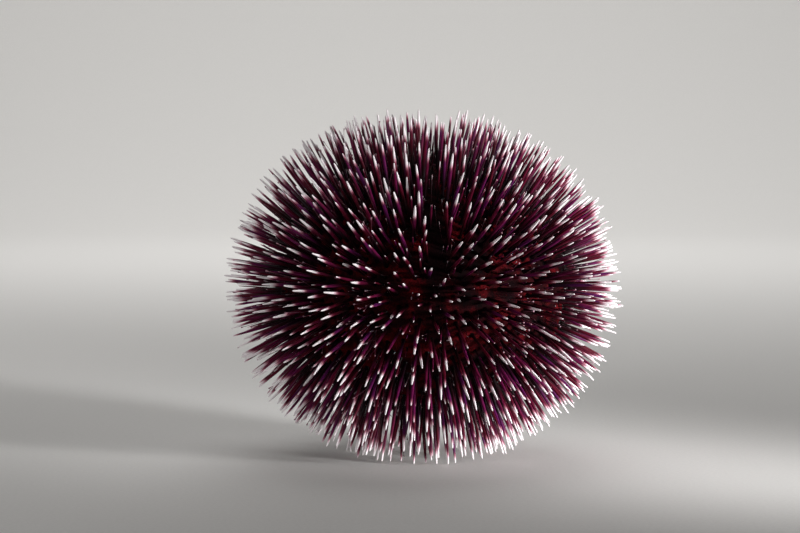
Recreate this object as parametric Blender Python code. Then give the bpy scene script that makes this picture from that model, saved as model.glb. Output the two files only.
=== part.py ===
"""Violet sea urchin: a still, life-size model of the whole living animal.

The test, which is the urchin's round shell, is divided as an anatomist names it: five
narrow ambulacra, five wide interambulacra, the apical disc on top and the peristome
round the mouth below, with five teeth in it. Every spine is fused to the column of the
test that it grows from. The axis of the animal is +Z, and it stands at z = 0 on the
flat ends of the spines of its underside.
"""

import math
import random

import bmesh
import bpy
from mathutils import Matrix, Vector

MM = 0.001

# The test: a spheroid, lower than it is wide
TEST_RADIUS = 49.5 * MM
TEST_HALF_HEIGHT = 43 * MM
AMBITUS_HEIGHT = 59 * MM  # of the widest girth above the floor
COUNT = 5  # an urchin is built in fives
AMBULACRUM_DEG = 28.0
INTERAMBULACRUM_DEG = 360 / COUNT - AMBULACRUM_DEG
FRONT_DEG = -85.0  # where the middle of the first interambulacrum looks
SEAM = 0.3 * MM  # the thin cut between two nodes
TEST_ROWS = 12
FACES_ACROSS = {"ambulacrum": 2, "interambulacrum": 3}

# The openings of the test at its two poles, and how deep what fills them goes
APICAL_RADIUS = 8 * MM
PERISTOME_RADIUS = 12 * MM
PLUG_DEPTH = 4 * MM

# The spines: straight, blunt, nearly even in length, a little steeper than square to the test
SPINE_LENGTH = 20 * MM
SHOULDER_GAIN = 0.06  # how much longer they are halfway from the ambitus to the top
STEEPNESS = 1.25  # rise of a spine, as a share of the rise of the test's normal
SPINE_LENGTH_SPREAD = 0.07  # a spine is at most this share longer or shorter
SPINE_BASE_RADIUS = 0.8 * MM
SPINE_TIP_RADIUS = 0.5 * MM
SPINE_SINK = 2.5 * MM  # how deep a root goes into the test
SPINE_SIDES = 4
SPINE_SPACING = 5.35 * MM  # from root to root
SPINE_JITTER = 0.12  # how far a root strays, as a share of the spacing
SPINE_LEAN_DEG = 2.5  # how far a spine leans from square, as one standard deviation
ROOT_MARGIN = 1.25 * MM  # from the middle of a root to the side of its column
TIP_MARGIN = 0.9 * MM  # from the middle of a tip to the side of its column
RIM_MARGIN = 2.3 * MM  # from the outermost rows of roots to the two openings
BARE_DEG = 5.0  # half the bare strip down the middle of an upper interambulacrum
BARE_FROM = 7 * MM  # where that strip starts, above the ambitus
PROFILE_STEPS = 400  # for walking along the test's profile

# The apical disc: its ring of plates, the anus in the middle and short spines outside
PLATE_RADIUS = 2.3 * MM
PLATE_RING_RADIUS = 4.6 * MM
PLATE_RISE = 0.5 * MM
ANUS_RADIUS = 1.6 * MM
ANUS_FOOT_RADIUS = 2.4 * MM
ANUS_RISE = 1.1 * MM
APICAL_SPINES = 10
APICAL_SPINE_RING_RADIUS = 6.3 * MM
APICAL_SPINE_LENGTH = 12 * MM
APICAL_SPINE_SPREAD = 0.15
APICAL_SPINE_BASE_RADIUS = 0.5 * MM
APICAL_SPINE_TIP_RADIUS = 0.35 * MM

# The mouth: a membrane with lips, a pocket behind them for the teeth, and stout feet
MEMBRANE_RECESS = 0.6 * MM  # of the membrane's rim inside the test
LIP_RADIUS = 5.6 * MM
LIP_FOOT_RADIUS = 6.8 * MM
LIP_DROP = 1.2 * MM
TEETH_RADIUS = 4.1 * MM
TEETH_EDGE_RADIUS = 0.9 * MM
TEETH_DROP = 3.6 * MM  # below the lips
POCKET_DEPTH = 2.6 * MM
BUCCAL_FEET = 2 * COUNT
BUCCAL_PAIR_DEG = 9.0  # half the angle between the two feet of a pair
BUCCAL_RING_RADIUS = 8.0 * MM
BUCCAL_FOOT_LENGTH = 2.4 * MM
BUCCAL_FOOT_RADIUS = 0.45 * MM
BUCCAL_SUCKER_RADIUS = 0.6 * MM
BUCCAL_SPLAY = 0.35  # how far a foot runs outwards for each step down
BUCCAL_SIDES = 6

ROUND_STEPS = 20
SHARP_DEG = 35.0  # an edge that turns more than this is shaded sharp

LOOKS = {
    "spined_ambulacrum": ((0.20, 0.035, 0.16), 0.45),
    "spined_interambulacrum": ((0.24, 0.04, 0.19), 0.45),
    "apical_plates": ((0.16, 0.02, 0.07), 0.55),
    "mouth_membrane": ((0.22, 0.05, 0.07), 0.5),
    "tooth_enamel": ((0.85, 0.82, 0.74), 0.3),
}


def clear_scene():
    for old in list(bpy.data.objects):
        bpy.data.objects.remove(old)


def material(name):
    colour, roughness = LOOKS[name]
    made = bpy.data.materials.get(name) or bpy.data.materials.new(name)
    made.use_nodes = True
    shader = made.node_tree.nodes["Principled BSDF"]
    shader.inputs["Base Color"].default_value = (*colour, 1.0)
    shader.inputs["Roughness"].default_value = roughness
    shader.inputs["Metallic"].default_value = 0.0
    return made


def make_object(name, points, faces, look):
    """A new object, its faces turned outwards and its round sides shaded smooth."""
    mesh = bpy.data.meshes.new(name)
    mesh.from_pydata([tuple(point) for point in points], [], faces)
    mesh.materials.append(material(look))
    shape = bmesh.new()
    shape.from_mesh(mesh)
    bmesh.ops.recalc_face_normals(shape, faces=shape.faces)
    shape.to_mesh(mesh)
    shape.free()
    shade_round(mesh)
    made = bpy.data.objects.new(name, mesh)
    bpy.context.scene.collection.objects.link(made)
    return made


def shade_round(mesh):
    mesh.shade_smooth()
    mesh.set_sharp_from_angle(angle=math.radians(SHARP_DEG))


# The form of the test. A turn is the angle up the profile, from 0 at the ambitus.


def profile_point(turn):
    """Radius and height of the test at this turn."""
    radius = TEST_RADIUS * math.cos(turn)
    return radius, AMBITUS_HEIGHT + TEST_HALF_HEIGHT * math.sin(turn)


def turn_at_radius(radius):
    return math.acos(radius / TEST_RADIUS)


def around(radius, longitude, height):
    return Vector((radius * math.cos(longitude), radius * math.sin(longitude), height))


def surface_point(turn, longitude):
    radius, height = profile_point(turn)
    return around(radius, longitude, height)


def surface_normal(turn, longitude):
    outwards = TEST_HALF_HEIGHT * math.cos(turn)
    upwards = TEST_RADIUS * math.sin(turn)
    return around(outwards, longitude, upwards).normalized()


def arc_speed(turn):
    """Length along the profile for each radian of turn."""
    return math.hypot(
        TEST_RADIUS * math.sin(turn), TEST_HALF_HEIGHT * math.cos(turn)
    )


LOW_TURN = -turn_at_radius(PERISTOME_RADIUS)
HIGH_TURN = turn_at_radius(APICAL_RADIUS)


def column_solid(name, middle, half_width, faces_across, look):
    """A slice of the test from its axis to its surface, each side set in by half a seam."""
    low = profile_point(LOW_TURN)[1] + PLUG_DEPTH
    high = profile_point(HIGH_TURN)[1] - PLUG_DEPTH
    outline = [(PERISTOME_RADIUS, low)]
    for row in range(TEST_ROWS + 1):
        turn = LOW_TURN + (HIGH_TURN - LOW_TURN) * row / TEST_ROWS
        outline.append(profile_point(turn))
    outline.append((APICAL_RADIUS, high))

    inset = SEAM / 2
    edge_radius = inset / math.sin(half_width)
    points = [around(edge_radius, middle, low), around(edge_radius, middle, high)]
    rings = []
    for radius, height in outline:
        reach = half_width - math.asin(inset / radius)
        rings.append(range(len(points), len(points) + faces_across + 1))
        for step in range(faces_across + 1):
            longitude = middle + reach * (2 * step / faces_across - 1)
            points.append(around(radius, longitude, height))

    faces = []
    for step in range(faces_across):
        faces.append((0, rings[0][step + 1], rings[0][step]))
        faces.append((1, rings[-1][step], rings[-1][step + 1]))
        for lower, upper in zip(rings, rings[1:]):
            faces.append((lower[step], lower[step + 1], upper[step + 1], upper[step]))
    faces.append((0, *[ring[0] for ring in rings], 1))
    faces.append((1, *[ring[-1] for ring in reversed(rings)], 0))
    return make_object(name, points, faces, look)


# The spines


def rod(root, direction, length, radii, sink, sides, look):
    """A straight tapered rod with its root sunk in, cut off level where it meets the floor."""
    turned = direction.to_track_quat("Z", "Y").to_matrix()
    ends = (root - direction * sink, root + direction * length)
    rings = []
    for centre, radius in zip(ends, radii):
        angles = [math.tau * (side + 0.5) / sides for side in range(sides)]
        rings.append([centre + turned @ around(radius, angle, 0.0) for angle in angles])
    start, tip = rings
    if min(point.z for point in tip) < 0.0:
        tip = [low.lerp(high, low.z / (low.z - high.z)) for low, high in zip(start, tip)]
    faces = [tuple(reversed(range(sides))), tuple(range(sides, 2 * sides))]
    for side in range(sides):
        after = (side + 1) % sides
        faces.append((side, after, sides + after, sides + side))
    return make_object("rod", start + tip, faces, look)


def row_turns():
    """The turns of the rows of spines, evenly spaced along the profile between the openings."""
    step = (HIGH_TURN - LOW_TURN) / PROFILE_STEPS
    turns = [LOW_TURN + step * (number + 0.5) for number in range(PROFILE_STEPS)]
    run = sum(arc_speed(turn) * step for turn in turns) - 2 * RIM_MARGIN
    gap = run / round(run / SPINE_SPACING)
    rows = []
    walked = 0.0
    for turn in turns:
        walked += arc_speed(turn) * step
        if walked >= RIM_MARGIN + gap * len(rows):
            rows.append(turn)
    return rows


def places_across(half_width, radius, bare):
    """Angles from the middle of a column at which one row has its spines."""
    if not bare:
        count = max(1, round(2 * half_width * radius / SPINE_SPACING))
        return [half_width * ((2 * place + 1) / count - 1) for place in range(count)]
    side = half_width - bare
    count = max(1, round(side * radius / SPINE_SPACING))
    right = [bare + side * (place + 0.5) / count for place in range(count)]
    return [-angle for angle in reversed(right)] + right


def kept_inside(point, middle, half_width, margin):
    """The point moved, if need be, to this distance inside both sides of its column."""
    for side in (-1, 1):
        edge = middle + side * half_width
        inwards = side * Vector((math.sin(edge), -math.cos(edge), 0.0))
        missing = margin - point.dot(inwards)
        if missing > 0:
            point = point + inwards * missing
    return point


def spine_direction(turn, longitude, draw):
    """Steeper than the normal of the test, and tipped a little at random."""
    normal = surface_normal(turn, longitude)
    normal.z *= STEEPNESS
    normal.normalize()
    east = Vector((-math.sin(longitude), math.cos(longitude), 0.0))
    north = normal.cross(east)
    spread = math.radians(SPINE_LEAN_DEG)
    return (
        normal + east * draw.gauss(0, spread) + north * draw.gauss(0, spread)
    ).normalized()


def spine_length(turn):
    return SPINE_LENGTH * (1 + SHOULDER_GAIN * math.sin(2 * max(turn, 0.0)) ** 2)


def column_spines(middle, half_width, bare_strip, look, draw):
    """Every spine of one column, row by row from the mouth to the apical disc."""
    stray = SPINE_SPACING * SPINE_JITTER
    spines = []
    for row in row_turns():
        radius, height = profile_point(row)
        bare = bare_strip if height > AMBITUS_HEIGHT + BARE_FROM else 0.0
        limit = half_width - math.asin(ROOT_MARGIN / radius)
        for place in places_across(half_width, radius, bare):
            place += draw.uniform(-stray, stray) / radius
            longitude = middle + max(-limit, min(limit, place))
            turn = row + draw.uniform(-stray, stray) / arc_speed(row)
            root = surface_point(turn, longitude)
            direction = spine_direction(turn, longitude, draw)
            share = 1 + draw.uniform(-SPINE_LENGTH_SPREAD, SPINE_LENGTH_SPREAD)
            tip = root + direction * spine_length(turn) * share
            reach = kept_inside(tip, middle, half_width, TIP_MARGIN) - root
            radii = (SPINE_BASE_RADIUS, SPINE_TIP_RADIUS)
            spines.append(
                rod(root, reach.normalized(), reach.length, radii, SPINE_SINK, SPINE_SIDES, look)
            )
    return spines


# Joining pieces into one closed body


def fuse(base, pieces):
    """Joins the pieces to the base with one union, and keeps the largest closed surface."""
    group = bpy.data.collections.new("pieces")
    for piece in pieces:
        bpy.context.scene.collection.objects.unlink(piece)
        group.objects.link(piece)
    union = base.modifiers.new("union", "BOOLEAN")
    union.operation = "UNION"
    union.solver = "EXACT"
    union.operand_type = "COLLECTION"
    union.collection = group
    bpy.context.view_layer.update()
    graph = bpy.context.evaluated_depsgraph_get()
    joined = bpy.data.meshes.new_from_object(base.evaluated_get(graph))
    base.modifiers.clear()
    base.data = joined
    for piece in pieces:
        bpy.data.objects.remove(piece)
    bpy.data.collections.remove(group)
    keep_largest(joined)
    shade_round(joined)


def keep_largest(mesh):
    shape = bmesh.new()
    shape.from_mesh(mesh)
    bmesh.ops.triangulate(shape, faces=shape.faces)
    left = set(shape.faces)
    bodies = []
    while left:
        waiting = [left.pop()]
        body = list(waiting)
        while waiting:
            for edge in waiting.pop().edges:
                for other in left.intersection(edge.link_faces):
                    left.remove(other)
                    body.append(other)
                    waiting.append(other)
        bodies.append(body)
    bodies.sort(key=body_volume)
    for body in bodies[:-1]:
        bmesh.ops.delete(shape, geom=body, context="FACES")
    shape.to_mesh(mesh)
    shape.free()


def body_volume(faces):
    total = 0.0
    for face in faces:
        first, second, third = (vertex.co for vertex in face.verts)
        total += first.dot(second.cross(third)) / 6
    return total


def turned_solid(name, outline, look):
    """A solid of revolution about +Z. Its outline starts and ends on the axis."""
    points = [around(0.0, 0.0, outline[0][1]), around(0.0, 0.0, outline[-1][1])]
    rings = []
    for radius, height in outline[1:-1]:
        rings.append(range(len(points), len(points) + ROUND_STEPS))
        for step in range(ROUND_STEPS):
            points.append(around(radius, math.tau * step / ROUND_STEPS, height))
    faces = []
    for step in range(ROUND_STEPS):
        after = (step + 1) % ROUND_STEPS
        faces.append((0, rings[0][after], rings[0][step]))
        faces.append((1, rings[-1][step], rings[-1][after]))
        for lower, upper in zip(rings, rings[1:]):
            faces.append((lower[step], lower[after], upper[after], upper[step]))
    return make_object(name, points, faces, look)


# The sub-parts


def build_columns():
    for number in range(COUNT):
        first = math.radians(FRONT_DEG + 360 / COUNT * number)
        second = first + math.radians(180 / COUNT)
        for kind, middle, width, bare in (
            ("interambulacrum", first, INTERAMBULACRUM_DEG, BARE_DEG),
            ("ambulacrum", second, AMBULACRUM_DEG, 0.0),
        ):
            name = f"{kind}_{number + 1}"
            look = "spined_" + kind
            half_width = math.radians(width) / 2
            column = column_solid(name, middle, half_width, FACES_ACROSS[kind], look)
            draw = random.Random(name)
            fuse(column, column_spines(middle, half_width, math.radians(bare), look, draw))


def build_apical_disc():
    look = "apical_plates"
    rim_radius = APICAL_RADIUS - SEAM
    rim_height = profile_point(turn_at_radius(rim_radius))[1]
    ring_height = profile_point(turn_at_radius(PLATE_RING_RADIUS))[1]
    seat = profile_point(HIGH_TURN)[1] - PLUG_DEPTH + SEAM
    top = AMBITUS_HEIGHT + TEST_HALF_HEIGHT
    outline = [
        (0, seat),
        (rim_radius, seat),
        (rim_radius, rim_height),
        (PLATE_RING_RADIUS, ring_height),
        (ANUS_FOOT_RADIUS, top),
        (ANUS_RADIUS, top + ANUS_RISE),
        (ANUS_RADIUS / 2, top + ANUS_RISE),
        (0, top + ANUS_RISE / 2),
    ]
    disc = turned_solid("apical_disc", outline, look)
    pieces = [
        plate(math.radians(FRONT_DEG + 360 / COUNT * number), look)
        for number in range(COUNT)
    ]
    draw = random.Random("apical_disc")
    turn = turn_at_radius(APICAL_SPINE_RING_RADIUS)
    for number in range(APICAL_SPINES):
        longitude = math.radians(FRONT_DEG + 360 / APICAL_SPINES * (number + 0.5))
        direction = spine_direction(turn, longitude, draw)
        share = 1 + draw.uniform(-APICAL_SPINE_SPREAD, APICAL_SPINE_SPREAD)
        length = APICAL_SPINE_LENGTH * share
        radii = (APICAL_SPINE_BASE_RADIUS, APICAL_SPINE_TIP_RADIUS)
        root = surface_point(turn, longitude)
        pieces.append(rod(root, direction, length, radii, SPINE_SINK, SPINE_SIDES, look))
    fuse(disc, pieces)


def plate(longitude, look):
    """A raised five-sided plate of the apical disc, its point turned outwards."""
    turn = turn_at_radius(PLATE_RING_RADIUS)
    centre = surface_point(turn, longitude)
    normal = surface_normal(turn, longitude)
    tilt = Vector((0, 0, 1)).rotation_difference(normal).to_matrix()
    placed = tilt @ Matrix.Rotation(longitude, 3, "Z")
    points = []
    for height in (-PLATE_RISE * 2, PLATE_RISE):
        for corner in range(COUNT):
            flat = around(PLATE_RADIUS, math.tau * corner / COUNT, height)
            points.append(centre + placed @ flat)
    faces = [tuple(reversed(range(COUNT))), tuple(range(COUNT, 2 * COUNT))]
    for corner in range(COUNT):
        after = (corner + 1) % COUNT
        faces.append((corner, after, COUNT + after, COUNT + corner))
    return make_object("plate", points, faces, look)


MEMBRANE_HEIGHT = profile_point(LOW_TURN)[1] + MEMBRANE_RECESS
LIP_HEIGHT = MEMBRANE_HEIGHT - LIP_DROP
POCKET_HEIGHT = LIP_HEIGHT + POCKET_DEPTH


def build_peristome():
    look = "mouth_membrane"
    rim_radius = PERISTOME_RADIUS - SEAM
    pocket_radius = TEETH_RADIUS + SEAM
    seat = profile_point(LOW_TURN)[1] + PLUG_DEPTH - SEAM
    outline = [
        (0, POCKET_HEIGHT),
        (pocket_radius, POCKET_HEIGHT),
        (pocket_radius, LIP_HEIGHT),
        (LIP_RADIUS, LIP_HEIGHT),
        (LIP_FOOT_RADIUS, MEMBRANE_HEIGHT - LIP_DROP / 3),
        (rim_radius, MEMBRANE_HEIGHT),
        (rim_radius, seat),
        (0, seat),
    ]
    membrane = turned_solid("peristome", outline, look)
    feet = []
    for number in range(BUCCAL_FEET):
        pair = FRONT_DEG + 360 / COUNT * (number // 2 + 0.5)
        longitude = math.radians(pair + BUCCAL_PAIR_DEG * (2 * (number % 2) - 1))
        root = around(BUCCAL_RING_RADIUS, longitude, MEMBRANE_HEIGHT)
        direction = around(BUCCAL_SPLAY, longitude, -1.0).normalized()
        radii = (BUCCAL_FOOT_RADIUS, BUCCAL_SUCKER_RADIUS)
        feet.append(
            rod(root, direction, BUCCAL_FOOT_LENGTH, radii, SPINE_SINK / 2, BUCCAL_SIDES, look)
        )
    fuse(membrane, feet)


def build_teeth():
    """Five chisels that close to a point, each a slice of one blunt cone."""
    half_width = math.pi / COUNT
    edge_radius = SEAM / 2 / math.sin(half_width)
    levels = (
        (TEETH_RADIUS, POCKET_HEIGHT - SEAM),
        (TEETH_RADIUS, LIP_HEIGHT - LIP_DROP / 2),
        (TEETH_EDGE_RADIUS, LIP_HEIGHT - TEETH_DROP),
    )
    for number in range(COUNT):
        middle = math.radians(FRONT_DEG + 360 / COUNT * number)
        points = []
        for radius, height in levels:
            reach = half_width - math.asin(SEAM / 2 / radius)
            points.append(around(edge_radius, middle, height))
            for side in (-1, 0, 1):
                points.append(around(radius, middle + reach * side, height))
        faces = [(0, 1, 2, 3), (11, 10, 9, 8)]
        for lower in (0, 4):
            for corner in range(4):
                after = (corner + 1) % 4
                faces.append(
                    (lower + corner, lower + after, lower + 4 + after, lower + 4 + corner)
                )
        make_object(f"tooth_{number + 1}", points, faces, "tooth_enamel")


def main():
    clear_scene()
    build_columns()
    build_apical_disc()
    build_peristome()
    build_teeth()


main()
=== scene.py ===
# %% [markdown]
# # A violet sea urchin
#
# The urchin's body is a round shell, the test, built in fives and thick with blunt
# violet spines that fade to white at their tips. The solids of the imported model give
# its size and the places of its parts. Here each solid gives way to a finer form: one
# unbroken skin over the shell, some thousands of spines, the soft feet and pincers
# that move among them, the small plates on top and the mouth underneath.

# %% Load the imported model
import math

import bpy
import numpy as np
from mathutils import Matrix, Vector, noise


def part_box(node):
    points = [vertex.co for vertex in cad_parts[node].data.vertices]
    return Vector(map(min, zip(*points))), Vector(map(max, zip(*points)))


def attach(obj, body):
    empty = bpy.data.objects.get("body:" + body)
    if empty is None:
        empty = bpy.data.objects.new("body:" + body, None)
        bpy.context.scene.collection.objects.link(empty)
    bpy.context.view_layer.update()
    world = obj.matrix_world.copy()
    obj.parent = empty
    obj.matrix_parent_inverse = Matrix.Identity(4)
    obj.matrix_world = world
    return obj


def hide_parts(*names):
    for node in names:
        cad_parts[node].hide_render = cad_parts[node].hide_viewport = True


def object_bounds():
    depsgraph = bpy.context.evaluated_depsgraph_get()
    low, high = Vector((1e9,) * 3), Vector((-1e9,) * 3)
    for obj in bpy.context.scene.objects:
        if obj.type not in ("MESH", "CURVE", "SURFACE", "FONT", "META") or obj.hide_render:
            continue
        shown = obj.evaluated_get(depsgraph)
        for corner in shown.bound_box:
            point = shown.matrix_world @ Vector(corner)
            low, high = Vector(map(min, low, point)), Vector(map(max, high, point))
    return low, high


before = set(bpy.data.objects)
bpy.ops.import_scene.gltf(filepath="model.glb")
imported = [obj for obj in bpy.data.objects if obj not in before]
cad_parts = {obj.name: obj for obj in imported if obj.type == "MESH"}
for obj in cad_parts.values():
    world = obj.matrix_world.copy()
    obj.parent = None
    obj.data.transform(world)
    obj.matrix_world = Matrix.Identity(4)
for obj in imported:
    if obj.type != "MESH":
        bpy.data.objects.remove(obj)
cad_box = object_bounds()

MM = 0.001
far_corner = [round(v / MM, 1) for v in cad_box[1]]
print("nodes:", len(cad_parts), "far corner of their box, mm:", far_corner)

# %% [markdown]
# ## The form that everything follows
#
# An urchin's test is close to a spheroid, wider than it is tall. A place on it is given
# by two angles: the longitude round the axis, and the turn up the profile, which is 0 at
# the ambitus, the widest girth. Two short functions turn these angles into a point and
# into the direction square to the surface, and they work on whole arrays at once, which
# is quicker than a loop in Python. The ten columns of plates are named by the direction
# of their middle and by half their width.

# %% The spheroid and its columns
COUNT = 5
TEST_RADIUS = 49.5 * MM
TEST_HALF_HEIGHT = 43 * MM
AMBITUS_HEIGHT = 59 * MM
GAP = 0.3 * MM
PERISTOME_RADIUS = (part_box("peristome")[1].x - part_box("peristome")[0].x) / 2 + GAP
APICAL_RADIUS = 8 * MM
FRONT = math.radians(-85)
HALF_WIDTH = {"ambulacrum": math.radians(14), "interambulacrum": math.radians(22)}
LOW_TURN = -math.acos(PERISTOME_RADIUS / TEST_RADIUS)
HIGH_TURN = math.acos(APICAL_RADIUS / TEST_RADIUS)


def around(radius, longitude, height):
    parts = (radius * np.cos(longitude), radius * np.sin(longitude), height)
    return np.stack(np.broadcast_arrays(*parts), axis=-1)


def surface(turn, longitude):
    height = AMBITUS_HEIGHT + TEST_HALF_HEIGHT * np.sin(turn)
    return around(TEST_RADIUS * np.cos(turn), longitude, height)


def square_to(turn, longitude):
    out = TEST_HALF_HEIGHT * np.cos(turn)
    way = around(out, longitude, TEST_RADIUS * np.sin(turn))
    return way / np.linalg.norm(way, axis=-1, keepdims=True)


def middle_of(kind, number):
    """Direction of the middle of a column of plates."""
    shift = 0.5 if kind == "ambulacrum" else 0.0
    return FRONT + math.tau / COUNT * (number + shift)


walk = np.linspace(LOW_TURN, HIGH_TURN, 800)
steps = np.linalg.norm(np.diff(surface(walk, 0.0), axis=0), axis=1)
walked = np.concatenate([[0.0], np.cumsum(steps)])
ARC = walked[-1]


def turn_at(arc):
    """The turn at this length along the profile, measured from the mouth's rim."""
    return np.interp(arc, walked, walk)


print("profile from mouth to top, mm:", round(ARC / MM, 1))

# %% [markdown]
# ## Colours
#
# Colours are written as the hex values a painter would pick on a screen. Light is reckoned
# in linear numbers, where twice the number is twice the light, so one function turns the
# first into the second.

# %% From a hex value to linear light
def linear(code):
    """A colour written as #rrggbb, as linear red, green, blue and alpha."""
    shares = [int(code[start : start + 2], 16) / 255 for start in (1, 3, 5)]
    bright = [s / 12.92 if s <= 0.04045 else ((s + 0.055) / 1.055) ** 2.4 for s in shares]
    return (*bright, 1.0)


print("a middle grey in linear light:", round(linear("#808080")[0], 2))

# %% [markdown]
# ## Nodes
#
# Shader nodes and geometry nodes are made by the same few steps: add a node, change its
# settings, then fill its inputs with values or with links from other nodes. One function
# does that for every kind of node. A smaller one does only the last step, for a node that
# is already there, such as the shader of a new material.

# %% Helpers for nodes
def pick(sockets, name=None):
    """A socket by its number, or the one of this name that is in use, or the first in use."""
    if isinstance(name, int):
        return sockets[name]
    return next(s for s in sockets if s.enabled and name in (None, s.name))


def fill(tree, node, inputs):
    """Fills the inputs that are named.

    An input takes a plain value, a node, whose first output is linked, or a node with
    the name of its output.
    """
    for name, value in inputs.items():
        source = value if isinstance(value, tuple) else (value, None)
        if isinstance(source[0], bpy.types.Node):
            tree.links.new(pick(source[0].outputs, source[1]), pick(node.inputs, name))
        else:
            pick(node.inputs, name).default_value = value


def add(tree, kind, inputs=None, profile=(), stops=(), **settings):
    """Adds one node with its settings, and fills its inputs.

    A curve takes the points of its profile, a ramp its stops.
    """
    node = tree.nodes.new(kind)
    for name, value in settings.items():
        setattr(node, name, value)
    fill(tree, node, inputs or {})
    if profile:
        line = node.mapping.curves[0].points
        line[0].location, line[1].location = profile[0], profile[-1]
        for point in profile[1:-1]:
            line.new(*point)
        for point in line:
            point.handle_type = "VECTOR"
        node.mapping.update()
    for number, (place, code) in enumerate(stops):
        ramp = node.color_ramp.elements
        if number == 0:
            ramp.remove(ramp[1])
        stop = ramp.new(place) if number else ramp[0]
        stop.position = place
        stop.color = linear(code)
    return node


def new_look(name):
    """A new material, with its tree and its shader."""
    look = bpy.data.materials.new(name)
    look.use_nodes = True
    return look, look.node_tree, look.node_tree.nodes["Principled BSDF"]


# %% [markdown]
# ## Meshes from rings of points
#
# Most forms of an urchin are round: rings of points, one above another, closed at both
# ends. Faces between two rings are found by counting, so one function serves the skin,
# the plates on top, the mouth and the teeth. It also lays the rings out flat, one above
# another, as a map on which colours can later be painted.

# %% Helpers for meshes
def new_piece(name, points, faces):
    mesh = bpy.data.meshes.new(name)
    mesh.from_pydata(np.asarray(points).reshape(-1, 3).tolist(), [], faces)
    piece = bpy.data.objects.new(name, mesh)
    bpy.context.scene.collection.objects.link(piece)
    return piece


def paint(mesh, name, values):
    """Stores one number, or one vector, for each point of a mesh."""
    values = np.asarray(values, dtype=np.float32)
    plain = values.ndim == 1
    layer = mesh.attributes.new(name, "FLOAT" if plain else "FLOAT_VECTOR", "POINT")
    layer.data.foreach_set("value" if plain else "vector", values.ravel())


def closed_rings(name, rings, first, last, look):
    """A closed piece through rings of points, from its first end point to its last.

    The rings turn anticlockwise seen from above. Its map has the rings one above another.
    """
    rows, across = rings.shape[:2]
    row, step = np.meshgrid(np.arange(rows - 1), np.arange(across), indexing="ij")
    after = (step + 1) % across
    here, above = row * across, (row + 1) * across
    quads = np.stack([here + step, here + after, above + after, above + step], axis=-1)
    ring = np.arange(across)
    following = (ring + 1) % across
    start, end, top = rows * across, rows * across + 1, (rows - 1) * across
    faces = quads.reshape(-1, 4).tolist()
    faces += [(start, int(b), int(a)) for a, b in zip(ring, following)]
    faces += [(end, int(top + a), int(top + b)) for a, b in zip(ring, following)]
    piece = new_piece(name, np.concatenate([rings.reshape(-1, 3), [first, last]]), faces)

    flat_u = np.stack([step, step + 1, step + 1, step], axis=-1) / across
    flat_v = np.stack([row, row, row + 1, row + 1], axis=-1) + 1
    start_u = np.stack([ring + 0.5, ring + 1, ring], axis=-1) / across
    end_u = np.stack([ring + 0.5, ring, ring + 1], axis=-1) / across
    map_u = np.concatenate([flat_u.ravel(), start_u.ravel(), end_u.ravel()])
    map_v = np.concatenate([flat_v.ravel(), [0, 1, 1] * across, [rows + 1, rows, rows] * across])
    layer = piece.data.uv_layers.new(name="OFBake")
    pairs = np.stack([map_u, map_v / (rows + 1)], axis=-1).astype(np.float32)
    layer.data.foreach_set("uv", pairs.ravel())
    piece.data.materials.append(look)
    piece.data.shade_smooth()
    return piece


# %% [markdown]
# ## The camera
#
# The camera looks almost level at the urchin's side, a little from above. A long lens
# from well back keeps the near spines from growing. The size and the place of the animal
# in the picture, in pixels, give the lens and a small shift, which moves the picture
# without turning the camera.

# %% Camera
PHOTO_WIDTH, PHOTO_HEIGHT = 800, 533
CENTRE_X, CENTRE_Y = 424, 281
ANIMAL_PIXELS = 403
CAMERA_ELEVATION = math.radians(4)
CAMERA_DISTANCE = 0.75
SENSOR_WIDTH = 36
target = Vector((0.0, 0.0, (cad_box[0].z + cad_box[1].z) / 2))
width = cad_box[1].x - cad_box[0].x

camera_data = bpy.data.cameras.new("camera")
camera_data.sensor_width = SENSOR_WIDTH
camera_data.lens = SENSOR_WIDTH * ANIMAL_PIXELS / PHOTO_WIDTH * CAMERA_DISTANCE / width
camera_data.shift_x = (PHOTO_WIDTH / 2 - CENTRE_X) / PHOTO_WIDTH
camera_data.shift_y = (CENTRE_Y - PHOTO_HEIGHT / 2) / PHOTO_WIDTH
camera = bpy.data.objects.new("camera", camera_data)
bpy.context.scene.collection.objects.link(camera)
back = Vector((0, -math.cos(CAMERA_ELEVATION), math.sin(CAMERA_ELEVATION)))
camera.location = target + back * CAMERA_DISTANCE
camera.rotation_euler = (-back).to_track_quat("-Z", "Y").to_euler()
bpy.context.scene.camera = camera
print("lens, mm:", round(camera_data.lens, 1))

# %% [markdown]
# ## The light
#
# The key light is a small soft lamp, close by on the right and nearly level, as a diver
# holds one: the right side is bright, the left falls off, and the depths between the
# spines stay dark. A much weaker fill lifts the tips on the left. Both beams are narrow,
# so that they don't burn the floor near them. A broad lamp overhead and one on the
# backdrop keep the rest pale, with a little light from the room all round. The colours
# are shown as they are, without the softening of highlights that a film look gives.

# %% Lamps and room
ROOM_LIGHT = 0.08
NARROW_BEAM = math.radians(30)


def soft_light(name, place, aim, size, power, spread=math.pi):
    """A round lamp that lights the scene but isn't seen in it, in metres and watts."""
    lamp = bpy.data.lights.new(name, "AREA")
    lamp.shape = "DISK"
    lamp.size = size
    lamp.energy = power
    lamp.spread = spread
    holder = bpy.data.objects.new(name, lamp)
    holder.location = place
    toward = Vector(aim) - Vector(place)
    holder.rotation_euler = toward.to_track_quat("-Z", "Y").to_euler()
    holder.visible_camera = False
    bpy.context.scene.collection.objects.link(holder)


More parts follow.
